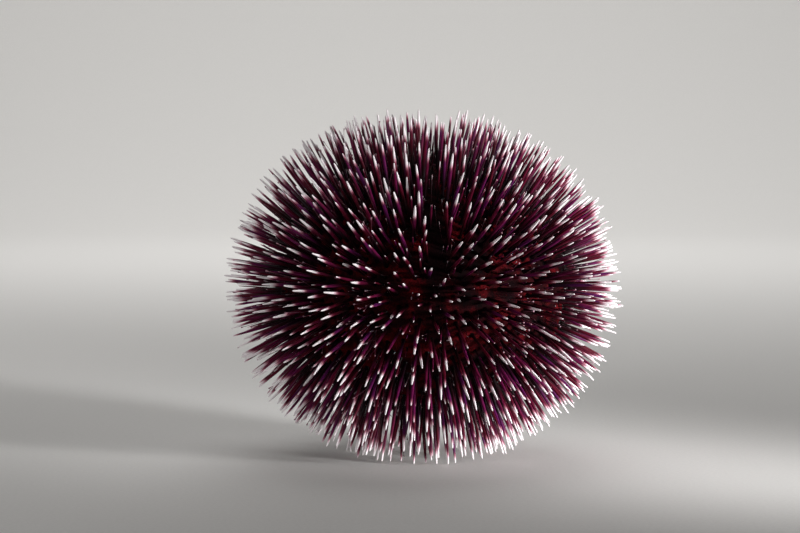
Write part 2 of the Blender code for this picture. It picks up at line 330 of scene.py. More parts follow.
soft_light("key", (0.46, -0.29, 0.085), (0.045, 0.0, 0.045), 0.1, 0.22, NARROW_BEAM)
soft_light("fill", (-0.35, -0.45, 0.1), (-0.055, 0.0, 0.065), 0.12, 0.03, NARROW_BEAM)
soft_light("overhead", (0.0, 0.5, 1.5), (0.0, 0.0, 0.0), 1.4, 6.0)
soft_light("backdrop", (0.0, 1.2, 1.3), (0.0, 2.4, 0.0), 1.2, 13.0)

world = bpy.data.worlds.new("pale room")
world.use_nodes = True
room = {"Color": linear("#e9e7e4"), "Strength": ROOM_LIGHT}
fill(world.node_tree, world.node_tree.nodes["Background"], room)
bpy.context.scene.world = world
bpy.context.scene.view_settings.view_transform = "Standard"
print("lamps:", ", ".join(lamp.name for lamp in bpy.data.lights))

# %% [markdown]
# ## The floor
#
# The floor is a wide disc of matt painted board that curves up at its edge into a
# backdrop, without a seam or a horizon. A flat plane would show its far edge as a line
# behind the animal. It is stage, not part of the model.

# %% Floor and backdrop in one sweep
FLOOR_RADIUS = 1.6
SWEEP_RADIUS = 1.2
FLOOR_SIDES = 96
SWEEP_STEPS = 24
SPECKLE = 1.2 * MM
rises = np.linspace(0.0, math.pi / 2, SWEEP_STEPS)[:, None]
round_floor = np.linspace(0.0, math.tau, FLOOR_SIDES, endpoint=False)[None, :]
sweep = FLOOR_RADIUS + SWEEP_RADIUS * np.sin(rises)
floor_points = around(sweep, round_floor, SWEEP_RADIUS * (1 - np.cos(rises)))
floor_faces = [range(FLOOR_SIDES)]
for low in range(0, (SWEEP_STEPS - 1) * FLOOR_SIDES, FLOOR_SIDES):
    high = low + FLOOR_SIDES
    for side in range(FLOOR_SIDES):
        after = (side + 1) % FLOOR_SIDES
        floor_faces.append((low + after, low + side, high + side, high + after))
floor = new_piece("floor", floor_points, floor_faces)
floor.data.shade_smooth()
board, tree, shader = new_look("matt_painted_board")
place = (add(tree, "ShaderNodeTexCoord"), "Object")
fine = {"Vector": place, "Scale": 1 / SPECKLE, "Detail": 3.0}
speckle = add(tree, "ShaderNodeTexNoise", fine)
stops = [(0.3, "#f1efec"), (0.7, "#f7f5f2")]
paler = add(tree, "ShaderNodeValToRGB", {"Fac": speckle}, stops=stops)
fill(tree, shader, {"Base Color": paler, "Roughness": 0.8})
floor.data.materials.append(board)
print("faces of the floor:", len(floor.data.polygons))

# %% [markdown]
# ## The finish of living skin
#
# A thin living skin, the epidermis, covers the whole shell. It is a dark wine red, clouded
# where the pigment cells lie thicker, and finely grained all over; its grooves and hollows
# get painted shade, near black. Its colour comes from noise several millimetres wide, the
# painted shade from a value stored on the mesh, and the grain from small cells that also
# raise a fine bump.
# The plates on top and the membrane round the mouth are skin of the same build in
# colours of their own, so one function makes all three.

# %% Moist skin: a soft shine over a dark, clouded body colour
CLOUD = 7 * MM
GRAIN = 0.45 * MM
GRAIN_HEIGHT = 0.06 * MM


def living_skin(name, colours, shade_colour, roughness):
    """Skin with a cloud of three colours, and a darker colour of painted shade where the stored value
    is 1.
    """
    look, tree, shader = new_look(name)
    place = (add(tree, "ShaderNodeTexCoord"), "Object")
    cloudy = {"Vector": place, "Scale": 1 / CLOUD, "Detail": 4.0}
    clouds = add(tree, "ShaderNodeTexNoise", cloudy)
    stops = list(zip((0.34, 0.5, 0.66), colours))
    body = add(tree, "ShaderNodeValToRGB", {"Fac": clouds}, stops=stops)
    # painted shade: the stored value blends in the dark shade colour in grooves, pores and hollows,
    # and on the naked bands also for their darker pigment
    painted_shade_and_band_pigment = (add(tree, "ShaderNodeAttribute", attribute_name="painted_shade_and_band_pigment"), "Fac")
    shading = {"Factor": painted_shade_and_band_pigment, "A": body, "B": linear(shade_colour)}
    shaded_body = add(tree, "ShaderNodeMix", shading, data_type="RGBA")
    grain = add(tree, "ShaderNodeTexVoronoi", {"Vector": place, "Scale": 1 / GRAIN})
    edges = {"Value": grain, "From Min": 0.2, "From Max": 0.8}
    flecks = add(tree, "ShaderNodeMapRange", edges)
    darker = {"Factor": flecks, "A": shaded_body, "B": linear("#8f6068")}
    flecked = add(tree, "ShaderNodeMix", darker, data_type="RGBA", blend_type="MULTIPLY")
    raised = {"Height": grain, "Strength": 0.5, "Distance": GRAIN_HEIGHT}
    bump = add(tree, "ShaderNodeBump", raised, invert=True)
    fill(tree, shader, {"Base Color": flecked, "Normal": bump})
    fill(tree, shader, {"Roughness": roughness, "Specular IOR Level": 0.04})
    return look


wine_reds = ("#0c0103", "#260207", "#5a0810")
epidermis = living_skin("wine_red_epidermis", wine_reds, "#0c0103", 0.8)
print("epidermis nodes:", len(epidermis.node_tree.nodes))

# %% [markdown]
# ## The skin over the shell
#
# The test is a mosaic of plates, each a little pillowed, with fine grooves between them.
# It could be modelled plate by plate, but the living skin runs over all of them in one
# piece. So the skin is one closed surface, and the layout of the plates is only reckoned
# with: how far each point is from the nearest groove. The plates of the two halves of a
# column alternate like bricks. Above the ambitus, each wide column has a naked band up
# its middle, painted darkest: partly painted shade, partly the band's darker pigment.

# %% Where the grooves and the naked bands run
SPACING = 4.15 * MM
EDGE = 1.6 * MM
NAKED_HALF_WIDTH = math.radians(6.5)
NAKED_RISE = 8 * MM
ROW_COUNT = round((ARC - 2 * EDGE) / SPACING)
ROW_STEP = (ARC - 2 * EDGE) / ROW_COUNT


def from_groove(arc, longitude):
    """Distance along the surface to the nearest groove between two plates."""
    wide, narrow = HALF_WIDTH["interambulacrum"], HALF_WIDTH["ambulacrum"]
    turned = (longitude - FRONT + wide) % (math.tau / COUNT)
    half = np.where(turned < 2 * wide, wide, narrow)
    angle = turned - np.where(turned < 2 * wide, wide, 2 * wide + narrow)
    radius = TEST_RADIUS * np.cos(turn_at(arc))
    beside = np.minimum(np.abs(angle), half - np.abs(angle)) * radius
    row = (arc - EDGE) / ROW_STEP - np.where(angle < 0, 0.0, 0.5)
    above = (0.5 - np.abs(row % 1.0 - 0.5)) * ROW_STEP
    return np.minimum(beside, above)


def in_naked_band(turn, longitude):
    """How deep a place lies in the naked band up the middle of a wide column, 0 to 1."""
    wide = HALF_WIDTH["interambulacrum"]
    angle = (longitude - FRONT + wide) % (math.tau / COUNT) - wide
    risen = np.clip((surface(turn, 0.0)[..., 2] - AMBITUS_HEIGHT) / NAKED_RISE, 0, 1)
    return risen * np.exp(-((angle / NAKED_HALF_WIDTH) ** 4))


print("plates up a half column:", ROW_COUNT, "each high, mm:", round(ROW_STEP / MM, 2))

# %% [markdown]
# ## One surface from the mouth to the top
#
# The skin is made of rings of points, and each point is raised by less the closer it lies
# to a groove. A second value, stored at the same points, paints shade into the grooves,
# the naked bands and the walls of the plugs; on the naked bands it also stands for their
# darker pigment. At both ends the surface turns inwards and is closed by a plug, because
# the mouth and the plates on top sit there.

# %% The skin
PLUG_DEPTH = 4 * MM
SKIN_ROWS, SKIN_ACROSS = 170, 360
PILLOW = 0.14 * MM
SLOPE = 0.8 * MM
GROOVE_SHADE = 0.6
NAKED_SHADE = 0.85
arcs = np.linspace(0.0, ARC, SKIN_ROWS)[:, None]
longitudes = np.linspace(0.0, math.tau, SKIN_ACROSS, endpoint=False)[None, :]
raised = 1 - np.exp(-((from_groove(arcs, longitudes) / SLOPE) ** 2))
turns = turn_at(arcs)
domed = surface(turns, longitudes) + square_to(turns, longitudes) * raised[..., None] * PILLOW
mouth_plug = surface(LOW_TURN, 0.0)[2] + PLUG_DEPTH
top_plug = surface(HIGH_TURN, 0.0)[2] - PLUG_DEPTH
mouth_wall = around(PERISTOME_RADIUS, longitudes, mouth_plug)
top_wall = around(APICAL_RADIUS, longitudes, top_plug)
rings = np.concatenate([mouth_wall, domed, top_wall])
skin = closed_rings("test_skin", rings, (0, 0, mouth_plug), (0, 0, top_plug), epidermis)
# painted shade: grooves between plates, naked bands (also their darker pigment) and plug walls are
# darkened
painted_groove_shade = GROOVE_SHADE * np.exp(-((from_groove(arcs, longitudes) / (0.5 * SLOPE)) ** 2))
shade = np.maximum(painted_groove_shade, NAKED_SHADE * in_naked_band(turns, longitudes)).ravel()
plug_wall_shade = np.ones(SKIN_ACROSS)
paint(skin.data, "painted_shade_and_band_pigment", np.concatenate([plug_wall_shade, shade, plug_wall_shade, [1.0, 1.0]]))

columns = [(kind, number) for number in range(COUNT) for kind in HALF_WIDTH]
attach(skin, "root")
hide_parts(*[f"{kind}_{number + 1}" for kind, number in columns])
print("skin faces:", len(skin.data.polygons))

# %% [markdown]
# ## Where the spines stand
#
# Each plate carries a row of large spines across its middle, so the rows of the two
# halves of a column are half a step apart. Between the large spines stand thinner,
# shorter ones, and near the skin a third, tiny kind. The upper part of a wide column is
# bare along its middle. A plan of rows keeps the spines as evenly spaced as real ones,
# which points strewn at random wouldn't be.

# %% Rows of places on half a column
BARE_HALF_WIDTH = math.radians(2.8)
BARE_FROM = AMBITUS_HEIGHT + 5 * MM
BARE_WIDENING = 6 * MM
MIDDLE_PART = 0.3
TINY_PART = 0.8
PLACES_SEED = 5
dice = np.random.default_rng(PLACES_SEED)


def half_column_places(kind, side):
    """Arc, angle from the column's middle, and kind of every spine of a half column."""
    places = []
    half = HALF_WIDTH[kind]
    shift = 0.5 if side < 0 else 1.0
    for arc in EDGE + ROW_STEP * (np.arange(ROW_COUNT - (side > 0)) + shift):
        turn = turn_at(arc)
        above = surface(turn, 0.0)[2] - BARE_FROM
        bare = BARE_HALF_WIDTH * min(max(above / BARE_WIDENING, 0.0), 1.0)
        inner = bare if kind == "interambulacrum" else 0.0
        count = max(1, round((half - inner) * TEST_RADIUS * math.cos(turn) / SPACING))
        share = (half - inner) / count
        for outer in half - share * np.arange(count):
            places.append((arc, side * (outer - share / 2), "large"))
            between = arc + ROW_STEP / 2
            if between > ARC - EDGE:
                continue
            angle = side * (outer - share * dice.random())
            if dice.random() < MIDDLE_PART:
                places.append((between, angle, "middle"))
            elif dice.random() < TINY_PART:
                places.append((between, angle, "tiny"))
    return places


print("large spines stand apart, mm:", SPACING / MM)

# %% [markdown]
# ## Directions and lengths
#
# Real spines stand a little steeper than square to the skin, and those on the shoulders
# are the longest. Neighbours lean the same way, in small groups. A smooth noise field
# gives each group its lean, and a small random lean and a stray of the root are added for
# each spine, from one seeded generator. A spine whose tip would pass through the floor is
# shortened to stand on it, because the animal rests on these. Each spine also draws a
# tone for its colour, and a bloom: how far down its white end runs.

# %% Roots, directions and lengths
SPINE_LENGTH = 20 * MM
SHOULDER_GAIN = 0.06
STEEPNESS = 1.25
JITTER = 0.22
LEAN = math.radians(3.2)
GROUP_LEAN = math.radians(4.5)
GROUP_SIZE = 11 * MM
GROUPS_SEED = 23
SPINE_CLEARANCE = 0.25 * MM
KINDS = {
    "large": {"share": (0.88, 1.015), "girth": (0.88, 1.16), "bloom": (0.26, 0.96)},
    "middle": {"share": (0.36, 0.84), "girth": (0.50, 0.72), "bloom": (0.0, 0.6)},
    "tiny": {"share": (0.16, 0.30), "girth": (0.36, 0.48), "bloom": (0.0, 0.25)},
}
MAP_HALF_WIDTH = 0.46
MAP_FOOT, MAP_HEIGHT = 0.02, 0.93
noise.seed_set(GROUPS_SEED)


def stray(size):
    return dice.uniform(-size, size)


def leaning(turn, longitude, spread):
    """Steeper than square to the skin, leaning with its group and a little at random."""
    normal = square_to(turn, longitude) * (1.0, 1.0, STEEPNESS)
    normal /= np.linalg.norm(normal)
    east = around(1.0, longitude + math.pi / 2, 0.0)
    drift = noise.noise_vector(Vector(surface(turn, longitude) / GROUP_SIZE)) * GROUP_LEAN
    lean = dice.normal(0.0, spread, 2)
    way = normal + east * (drift.x + lean[0]) + np.cross(normal, east) * (drift.y + lean[1])
    return way / np.linalg.norm(way)


def above_floor(root, way, share, clearance):
    """The share of its length that a rod may have, so that its tip clears the floor."""
    if way[2] >= 0:
        return share
    return min(share, (root[2] - clearance) / -way[2] / SPINE_LENGTH)


def spine(kind, number, arc, angle, size):
    """Root, direction and sizes of one spine, and its place on its column's flat map."""
    arc = float(np.clip(arc + stray(JITTER * SPACING), EDGE, ARC - EDGE))
    turn = turn_at(arc)
    angle += stray(JITTER * SPACING) / (TEST_RADIUS * math.cos(turn))
    longitude = middle_of(kind, number) + angle
    root = surface(turn, longitude)
    way = leaning(turn, longitude, LEAN)
    share, girth, bloom = (dice.uniform(*KINDS[size][what]) for what in KINDS[size])
    share *= 1 + SHOULDER_GAIN * math.sin(2 * max(turn, 0.0)) ** 2
    across = 0.5 + MAP_HALF_WIDTH * angle / HALF_WIDTH[kind]
    return {
        "root": root,
        "way": way,
        "share": above_floor(root, way, share, SPINE_CLEARANCE),
        "girth": girth,
        "bloom": bloom,
        "tone": dice.random(),
        "map_place": (across, MAP_FOOT + MAP_HEIGHT * arc / ARC, 0.0),
    }


spines = {
    (kind, number): [
        spine(kind, number, *place)
        for side in (-1, 1)
        for place in half_column_places(kind, side)
    ]
    for kind, number in columns
}
print("spines:", sum(len(found) for found in spines.values()))

# %% [markdown]
# ## A tree that grows rods
#
# Spines, tube feet and pincers are all rods, round and of changing thickness, thousands
# of them. Arrays and particle hair could scatter them, but Geometry Nodes give each one
# its own direction, length and girth from the values stored at its root. First a flat
# sheet is rolled into a tube, with one row of points for each point of a profile. The
# sheet keeps its seam on its flat map, so the tube has a clean map of its own. Three
# shallow lobes may widen it towards the tip, for the jaws of a pincer.

# %% A sheet rolled into a tube
MERGE = 0.01 * MM
LOBE_COUNT = 3
LOBE_RISE = 6.0


def rod_template(tree, given, profile):
    """Upright tube. The profile has heights as shares of the length, and radii as shares."""
    last = len(profile) - 1
    heights = [(number / last, height) for number, (height, _) in enumerate(profile)]
    radii = [(number / last, radius) for number, (_, radius) in enumerate(profile)]
    across = add(tree, "ShaderNodeMath", {0: (given, "Sides"), 1: 1.0}, operation="ADD")
    counts = {"Vertices X": across, "Vertices Y": len(profile)}
    sheet = add(tree, "GeometryNodeMeshGrid", {"Size X": 1.0, "Size Y": 1.0, **counts})
    place = add(tree, "ShaderNodeSeparateXYZ", {0: add(tree, "GeometryNodeInputPosition")})
    angle = add(tree, "ShaderNodeMath", {0: (place, "X"), 1: math.tau}, operation="MULTIPLY")
    ring = add(tree, "ShaderNodeMath", {0: (place, "Y"), 1: 0.5}, operation="ADD")
    height = add(tree, "ShaderNodeFloatCurve", {"Value": ring}, profile=heights)
    radius = add(tree, "ShaderNodeFloatCurve", {"Value": ring}, profile=radii)

    thirds = add(tree, "ShaderNodeMath", {0: angle, 1: LOBE_COUNT}, operation="MULTIPLY")
    wave = add(tree, "ShaderNodeMath", {0: thirds}, operation="COSINE")
    rise = add(tree, "ShaderNodeMath", {0: ring, 1: LOBE_RISE}, operation="POWER")
    lobe = add(tree, "ShaderNodeMath", {0: wave, 1: rise}, operation="MULTIPLY")
    widened = {0: lobe, 1: (given, "Lobes"), 2: 1.0}
    widening = add(tree, "ShaderNodeMath", widened, operation="MULTIPLY_ADD")
    lobed = add(tree, "ShaderNodeMath", {0: radius, 1: widening}, operation="MULTIPLY")
    reach = add(tree, "ShaderNodeMath", {0: lobed, 1: (given, "Radius")}, operation="MULTIPLY")

    ends = {"To Min": (given, "Lowest"), "To Max": (given, "Length")}
    level = add(tree, "ShaderNodeMapRange", {"Value": height, **ends})
    beam = add(tree, "ShaderNodeCombineXYZ", {"X": reach, "Z": level})
    turned = {"Vector": beam, "Angle": angle}
    rolled = add(tree, "ShaderNodeVectorRotate", turned, rotation_type="Z_AXIS")

    flutes = {"Geometry": sheet, "Name": "Flutes", "Value": (sheet, "UV Map")}
    on_map = {"data_type": "FLOAT2", "domain": "CORNER"}
    mapped = add(tree, "GeometryNodeStoreNamedAttribute", flutes, **on_map)
    along = {"Geometry": mapped, "Name": "along", "Value": height}
    marked = add(tree, "GeometryNodeStoreNamedAttribute", along, data_type="FLOAT")
    tube = add(tree, "GeometryNodeSetPosition", {"Geometry": marked, "Position": rolled})
    return add(tree, "GeometryNodeMergeByDistance", {"Geometry": tube, "Distance": MERGE})


# %% [markdown]
# ## One rod on every root
#
# The second half of the tree sets the tube on every root. Its upright axis is turned
# along the root's stored direction, with a random twist about that axis, and it is
# scaled by the stored girth and share of length. The copies are then made real, bent
# sideways by their sway, and given a second map, on which each is a narrow patch at its
# root's place on the skin's own flat map. Colours baked on it later stay apart.

# %% Tubes set on roots, and made a plain mesh
ROD_SIZES = {
    "Length": 20 * MM,
    "Radius": 1 * MM,
    "Lowest": -0.6 * MM,
    "Lobes": 0.0,
    "Patch width": 0.003,
    "Patch length": 0.024,
    "Sides": 8,
    "Seed": 3,
}


def rod_tree(name, profile, look):
    tree = bpy.data.node_groups.new(name, "GeometryNodeTree")
    for end in ("INPUT", "OUTPUT"):
        tree.interface.new_socket("Geometry", in_out=end, socket_type="NodeSocketGeometry")
    for label, value in ROD_SIZES.items():
        kind = "NodeSocketInt" if isinstance(value, int) else "NodeSocketFloat"
        tree.interface.new_socket(label, in_out="INPUT", socket_type=kind)
    given = add(tree, "NodeGroupInput")
    template = rod_template(tree, given, profile)

    stored = {
        label: add(tree, "GeometryNodeInputNamedAttribute", {"Name": label}, data_type=kind)
        for label, kind in (
            ("way", "FLOAT_VECTOR"),
            ("share", "FLOAT"),
            ("girth", "FLOAT"),
            ("sway", "FLOAT_VECTOR"),
            ("along", "FLOAT"),
            ("map_place", "FLOAT_VECTOR"),
            ("Flutes", "FLOAT_VECTOR"),
        )
    }
    upright = add(tree, "FunctionNodeAlignRotationToVector", {"Vector": stored["way"]}, axis="Z")
    chance = {"Max": math.tau, "Seed": (given, "Seed")}
    angle = add(tree, "FunctionNodeRandomValue", chance, data_type="FLOAT")
    twist = add(tree, "FunctionNodeAxisAngleToRotation", {"Axis": (0, 0, 1), "Angle": angle})
    both = {"Rotation": upright, "Rotate By": twist}
    turned = add(tree, "FunctionNodeRotateRotation", both, rotation_space="LOCAL")
    sizes = {"X": stored["girth"], "Y": stored["girth"], "Z": stored["share"]}
    scale = add(tree, "ShaderNodeCombineXYZ", sizes)
    copies = {"Points": (given, "Geometry"), "Instance": template}
    placed = {"Rotation": turned, "Scale": scale}
    rods = add(tree, "GeometryNodeInstanceOnPoints", {**copies, **placed})
    real = add(tree, "GeometryNodeRealizeInstances", {"Geometry": rods})

    squared = {0: stored["along"], 1: stored["along"]}
    bend = add(tree, "ShaderNodeMath", squared, operation="MULTIPLY")
    aside = {"Vector": stored["sway"], "Scale": bend}
    offset = add(tree, "ShaderNodeVectorMath", aside, operation="SCALE")
    bent = add(tree, "GeometryNodeSetPosition", {"Geometry": real, "Offset": offset})

    centred = {0: stored["Flutes"], 1: (-0.5, 0.0, 0.0)}
    flat = add(tree, "ShaderNodeVectorMath", centred, operation="ADD")
    patch = {"X": (given, "Patch width"), "Y": (given, "Patch length")}
    patch_size = add(tree, "ShaderNodeCombineXYZ", patch)
    spread = {0: flat, 1: patch_size, 2: stored["map_place"]}
    on_skin_map = add(tree, "ShaderNodeVectorMath", spread, operation="MULTIPLY_ADD")
    painted = {"Geometry": bent, "Name": "OFBake", "Value": on_skin_map}
    on_map = {"data_type": "FLOAT2", "domain": "CORNER"}
    mapped = add(tree, "GeometryNodeStoreNamedAttribute", painted, **on_map)
    smooth = add(tree, "GeometryNodeSetShadeSmooth", {"Geometry": mapped})
    finished = add(tree, "GeometryNodeSetMaterial", {"Geometry": smooth, "Material": look})
    add(tree, "NodeGroupOutput", {"Geometry": finished})
    return tree


def grow(name, tree, roots, **sizes):
    """A plain mesh piece with the tree's rod on every root."""
    cloud = new_piece(name + "_roots", [root["root"] for root in roots], [])
    for label in roots[0]:
        if label != "root":
            paint(cloud.data, label, [root[label] for root in roots])
    modifier = cloud.modifiers.new("rods", "NODES")
    modifier.node_group = tree
    for item in tree.interface.items_tree:
        if item.in_out == "INPUT" and item.name in ROD_SIZES:
            modifier[item.identifier] = {**ROD_SIZES, **sizes}[item.name]
    graph = bpy.context.evaluated_depsgraph_get()
    evaluated = cloud.evaluated_get(graph)
    grown = bpy.data.meshes.new_from_object(
        evaluated, preserve_all_data_layers=True, depsgraph=graph
    )
    grown.name = name
    bpy.data.objects.remove(cloud)
    piece = bpy.data.objects.new(name, grown)
    bpy.context.scene.collection.objects.link(piece)
    return piece


print("sizes of a rod:", ", ".join(ROD_SIZES))

# %% [markdown]
# ## The spines' finish
#
# A spine is one crystal of calcite under a film of living skin, and the pigment in it
# runs from wine red to violet. Towards the root it is darkened almost to black with
# painted shade, for the dark between the spines where no light comes. The pigment gives
# out over the last third, through rose to a chalky, slightly waxy white. How far the white
# runs down differs from spine to spine, and its edge is streaked along fine ridges. So
# the colour follows the stored height along the spine, shifted by each spine's own bloom
# and by a noise stretched along the tube's map. The same noise raises the ridges, and
# shifts the pigment a little from ridge to ridge.

# %% Pigmented calcite: smooth and a little waxy, with fine ridges along it
RIDGES = 9.0
RIDGE_RUN = 1.6
RIDGE_DEPTH = 0.2 * MM
UNLIKE = 90.0
GRAIN_SHIFT = 1.2
BLOOM_SHIFT = 0.35
STREAK_SHIFT = 0.12
FADE_FROM, FADE_TO = 0.64, 0.71
calcite, tree, shader = new_look("violet_pigmented_calcite")
along = (add(tree, "ShaderNodeAttribute", attribute_name="along"), "Fac")
tone = (add(tree, "ShaderNodeAttribute", attribute_name="tone"), "Fac")
bloom = (add(tree, "ShaderNodeAttribute", attribute_name="bloom"), "Fac")
flutes = add(tree, "ShaderNodeUVMap", uv_map="Flutes")
runs = {0: flutes, 1: (RIDGES, RIDGE_RUN, 0)}
apart = add(tree, "ShaderNodeVectorMath", runs, operation="MULTIPLY")
number = add(tree, "ShaderNodeMath", {0: tone, 1: UNLIKE}, operation="MULTIPLY")
own = add(tree, "ShaderNodeCombineXYZ", {"Z": number})
ridged = add(tree, "ShaderNodeVectorMath", {0: apart, 1: own}, operation="ADD")
ridges = add(tree, "ShaderNodeTexNoise", {"Vector": ridged, "Scale": 1.0, "Detail": 3.0})

grain = {0: ridges, 1: GRAIN_SHIFT, 2: -GRAIN_SHIFT / 2}
grained = add(tree, "ShaderNodeMath", grain, operation="MULTIPLY_ADD")
toned = add(tree, "ShaderNodeMath", {0: tone, 1: grained}, operation="ADD")
reds = [(0.0, "#480a1a"), (0.35, "#540c24"), (0.6, "#5b1032")]
stops = [*reds, (0.88, "#5c1244"), (1.0, "#50144a")]
shaft = add(tree, "ShaderNodeValToRGB", {"Fac": toned}, stops=stops)
# painted shade: the shaft is multiplied darker towards the root, near black at the skin
stops = [(0.05, "#20161a"), (0.35, "#66565b"), (0.62, "#ffffff")]
root_shade = add(tree, "ShaderNodeValToRGB", {"Fac": along}, stops=stops)
root_shading = {"Factor": 1.0, "A": shaft, "B": root_shade}
painted_shade = add(tree, "ShaderNodeMix", root_shading, data_type="RGBA", blend_type="MULTIPLY")

shifted = {0: bloom, 1: BLOOM_SHIFT, 2: -BLOOM_SHIFT}
started = add(tree, "ShaderNodeMath", shifted, operation="MULTIPLY_ADD")
streaks = {0: ridges, 1: STREAK_SHIFT, 2: started}
streaked = add(tree, "ShaderNodeMath", streaks, operation="MULTIPLY_ADD")
reached = add(tree, "ShaderNodeMath", {0: along, 1: streaked}, operation="ADD")
edges = {"Value": reached, "From Min": FADE_FROM, "From Max": FADE_TO}
fading = add(tree, "ShaderNodeMapRange", edges)
stops = [(0.67, "#6a2c44"), (0.72, "#a0606f"), (0.76, "#d8b4c0"), (0.81, "#f7eef1")]
pale = add(tree, "ShaderNodeValToRGB", {"Fac": reached}, stops=stops)
coloured = add(tree, "ShaderNodeMix", {"Factor": fading, "A": painted_shade, "B": pale}, data_type="RGBA")
bump = add(tree, "ShaderNodeBump", {"Height": ridges, "Strength": 0.5, "Distance": RIDGE_DEPTH})
fill(tree, shader, {"Base Color": coloured, "Normal": bump})
fill(tree, shader, {"Roughness": 0.4, "Specular IOR Level": 0.15})
print("calcite nodes:", len(tree.nodes))

# %% [markdown]
# ## The spines
#
# The profile starts below the skin. It widens into the boss on the plate, narrows to the
# mamelon, a little knob that the spine turns on, and widens again into the ring where
# muscles hold the spine. From there the shaft tapers slowly, and the tip is blunt. Each
# column of plates gets its spines as one piece, as the solids have them.

# %% Spines, one piece for each column
SPINE_RADIUS = 1 * MM
SPINE_PROFILE = (
    (0.0, 0.0),
    (0.0, 1.0),
    (0.045, 0.85),
    (0.06, 0.42),
    (0.075, 0.78),
    (0.10, 0.55),
    (0.64, 0.51),
    (0.86, 0.37),
    (0.965, 0.26),
    (0.99, 0.165),
    (1.0, 0.0),
)
spine_tree = rod_tree("spine", SPINE_PROFILE, calcite)
for kind, number in columns:
    name = f"{kind}_{number + 1}"
    piece = grow(name + "_spines", spine_tree, spines[kind, number], Radius=SPINE_RADIUS)
    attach(piece, "root")
    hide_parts(name)
    print(piece.name, "spines:", len(spines[kind, number]), "faces:", len(piece.data.polygons))

# %% [markdown]
# ## The plates on top
#
# The top of the test is closed by the apical disc. Five large genital plates stand in a
# ring, each with the pore that eggs or milt leave by, with five small ocular plates
# outside and between them. In the middle a patch of little loose plates surrounds the
# anus. Each point of the disc belongs to the nearest plate's centre, and where a second
# centre is as near, there is a groove. That gives every plate its outline from a short
# list of centres, where cutting them out one by one would take many more lines.

# %% The apical disc
DISC_ROWS, DISC_ACROSS = 44, 150
PLATE_RINGS = ((4.6 * MM, COUNT, 0.0), (7.2 * MM, COUNT, 0.5), (2.2 * MM, 9, 0.3), (1.1 * MM, 5, 0.0))
PLATE_PILLOW = 0.45 * MM
PLATE_SLOPE = 0.35 * MM
PORE_RING, PORE_SIZE, PORE_DEPTH = 5.7 * MM, 0.38 * MM, 0.5 * MM
ANUS_SIZE, ANUS_RISE = 1.6 * MM, 1.0 * MM
ANUS_HOLE, ANUS_DEPTH = 0.55 * MM, 1.1 * MM

centres = np.concatenate(
    [
        around(ring, FRONT + math.tau * (np.arange(count) + shift) / count, 0.0)
        for ring, count, shift in PLATE_RINGS
    ]
)
pores = around(PORE_RING, FRONT + math.tau * np.arange(COUNT) / COUNT, 0.0)
disc_radii = np.linspace(APICAL_RADIUS - GAP, 0.1 * MM, DISC_ROWS)[:, None]
disc_angles = np.linspace(0.0, math.tau, DISC_ACROSS, endpoint=False)[None, :]
flat = around(disc_radii, disc_angles, 0.0)
near = np.sort(np.linalg.norm(flat[:, :, None] - centres, axis=-1), axis=-1)
creases = np.exp(-(((near[..., 1] - near[..., 0]) / 2 / PLATE_SLOPE) ** 2))
pore_depth = np.exp(-((np.linalg.norm(flat[:, :, None] - pores, axis=-1) / PORE_SIZE) ** 2))
holes = pore_depth.sum(axis=-1)
hole = np.exp(-((disc_radii / ANUS_HOLE) ** 2))
relief = PLATE_PILLOW * (1 - creases) - PORE_DEPTH * holes
relief = relief + ANUS_RISE * np.exp(-((disc_radii / ANUS_SIZE) ** 2)) - ANUS_DEPTH * hole
dome = surface(np.arccos(disc_radii / TEST_RADIUS), disc_angles)
dome[..., 2] += relief - PLATE_PILLOW / 2
seat = top_plug + GAP
wall = around(APICAL_RADIUS - GAP, disc_angles, seat)
plate_skin = living_skin("violet_plate_skin", ("#2f0816", "#5a1230", "#7d2a4a"), "#16040c", 0.5)
centre_top = (0, 0, dome[-1, :, 2].mean())
rings = np.concatenate([wall, dome])
disc = closed_rings("apical_plates", rings, (0, 0, seat), centre_top, plate_skin)
# painted shade: the grooves between plates, the pores, the anus and the wall below the disc are
# darkened
painted_shade = np.clip(creases + holes + hole, 0, 1).ravel()
paint(disc.data, "painted_shade_and_band_pigment", np.concatenate([np.ones(DISC_ACROSS), painted_shade, [1.0, 1.0]]))
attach(disc, "root")
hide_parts("apical_disc")
print("plates on top:", len(centres), "faces:", len(disc.data.polygons))

# %% [markdown]
# ## Short spines on the top plates
#
# The genital plates carry a few middling spines towards the rim, and many tiny ones. They
# are the same shape as the others, so the same tree grows them from a short list.

# %% Spines of the apical disc
DISC_MAP_WIDTH = 20 * MM


def disc_spine(ring, longitude, share, girth):
    turn = math.acos(ring / TEST_RADIUS)
    root = surface(turn, longitude)
    return {
        "root": root,
        "way": leaning(turn, longitude, LEAN),
        "share": share,
        "girth": girth,
        "bloom": dice.uniform(0.6, 1.0),
        "tone": dice.random(),
        "map_place": (0.5 + root[0] / DISC_MAP_WIDTH, 0.5 + root[1] / DISC_MAP_WIDTH, 0.0),
    }


disc_spines = []
for step in range(2 * COUNT):
    longitude = FRONT + math.tau * (step + 0.5) / (2 * COUNT)
    disc_spines.append(disc_spine(6.4 * MM, longitude, dice.uniform(0.5, 0.66), 0.7))
for step in range(6 * COUNT):
    longitude = FRONT + math.tau * (step + dice.random()) / (6 * COUNT)
    ring = dice.uniform(3.4, 7.3) * MM
    disc_spines.append(disc_spine(ring, longitude, dice.uniform(0.14, 0.34), 0.42))
piece = grow("apical_spines", spine_tree, disc_spines)
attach(piece, "root")
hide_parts("apical_disc")
print("spines on top:", len(disc_spines))

# %% [markdown]
# ## The finish of soft feet and pincers
#
# Tube feet are hollow, muscular and clear enough for light to pass, wine-tinted below and
# whitish at the sucker. The pincers among the spines, the pedicellariae, have a thin
# stalk and a pale head of three jaws. Both fade with their height, so one function
# takes the stops of a ramp, and lets a little light scatter inside.

# %% Soft flesh: wet, with light scattered just under its surface
GLOW_DEPTH = 0.4 * MM
MOTTLE = 0.8 * MM


